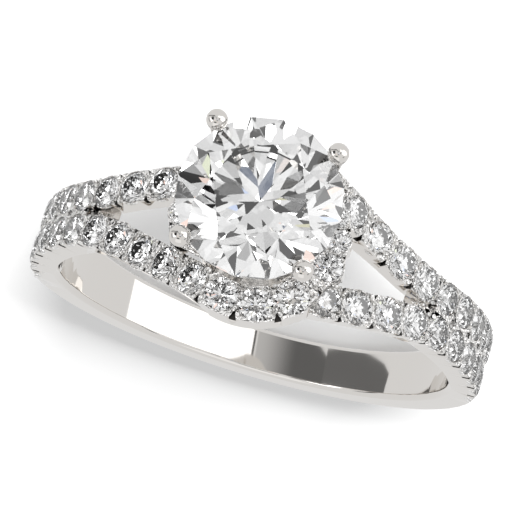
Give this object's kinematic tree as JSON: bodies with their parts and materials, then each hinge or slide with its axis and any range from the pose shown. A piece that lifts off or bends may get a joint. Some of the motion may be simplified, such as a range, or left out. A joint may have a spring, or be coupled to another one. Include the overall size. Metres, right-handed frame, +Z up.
{
  "type": "halo engagement ring",
  "caption": "Finger ring with a split, bypassing shank set with small stones, whose ends sweep round a raised round stone and form its halo.",
  "frame": {"origin": "middle of the finger's opening, on its axis and halfway between the band's flanks", "axes": "the ring lies on its side, as it comes to rest: +Z up and 8 degrees off the finger's axis, the head towards -Y, +X across the band"},
  "size_m": [0.02, 0.0263, 0.0077],
  "materials": {
    "white_gold": "polished white gold",
    "centre_diamond": "clear, faceted and polished",
    "small_diamond": "clear, faceted and polished"
  },
  "bodies": {
    "root": {"metal": "white_gold", "centre_stone": "centre_diamond", "halo_stone_1": "small_diamond", "halo_stone_2": "small_diamond", "halo_stone_3": "small_diamond", "halo_stone_4": "small_diamond", "halo_stone_5": "small_diamond", "halo_stone_6": "small_diamond", "halo_stone_7": "small_diamond", "halo_stone_8": "small_diamond", "halo_stone_9": "small_diamond", "halo_stone_10": "small_diamond", "halo_stone_11": "small_diamond", "halo_stone_12": "small_diamond", "halo_stone_13": "small_diamond", "halo_stone_14": "small_diamond", "pave_low_right": "small_diamond", "pave_low_left": "small_diamond", "pave_rising_left": "small_diamond", "pave_rising_right": "small_diamond"}
  },
  "joints": []
}
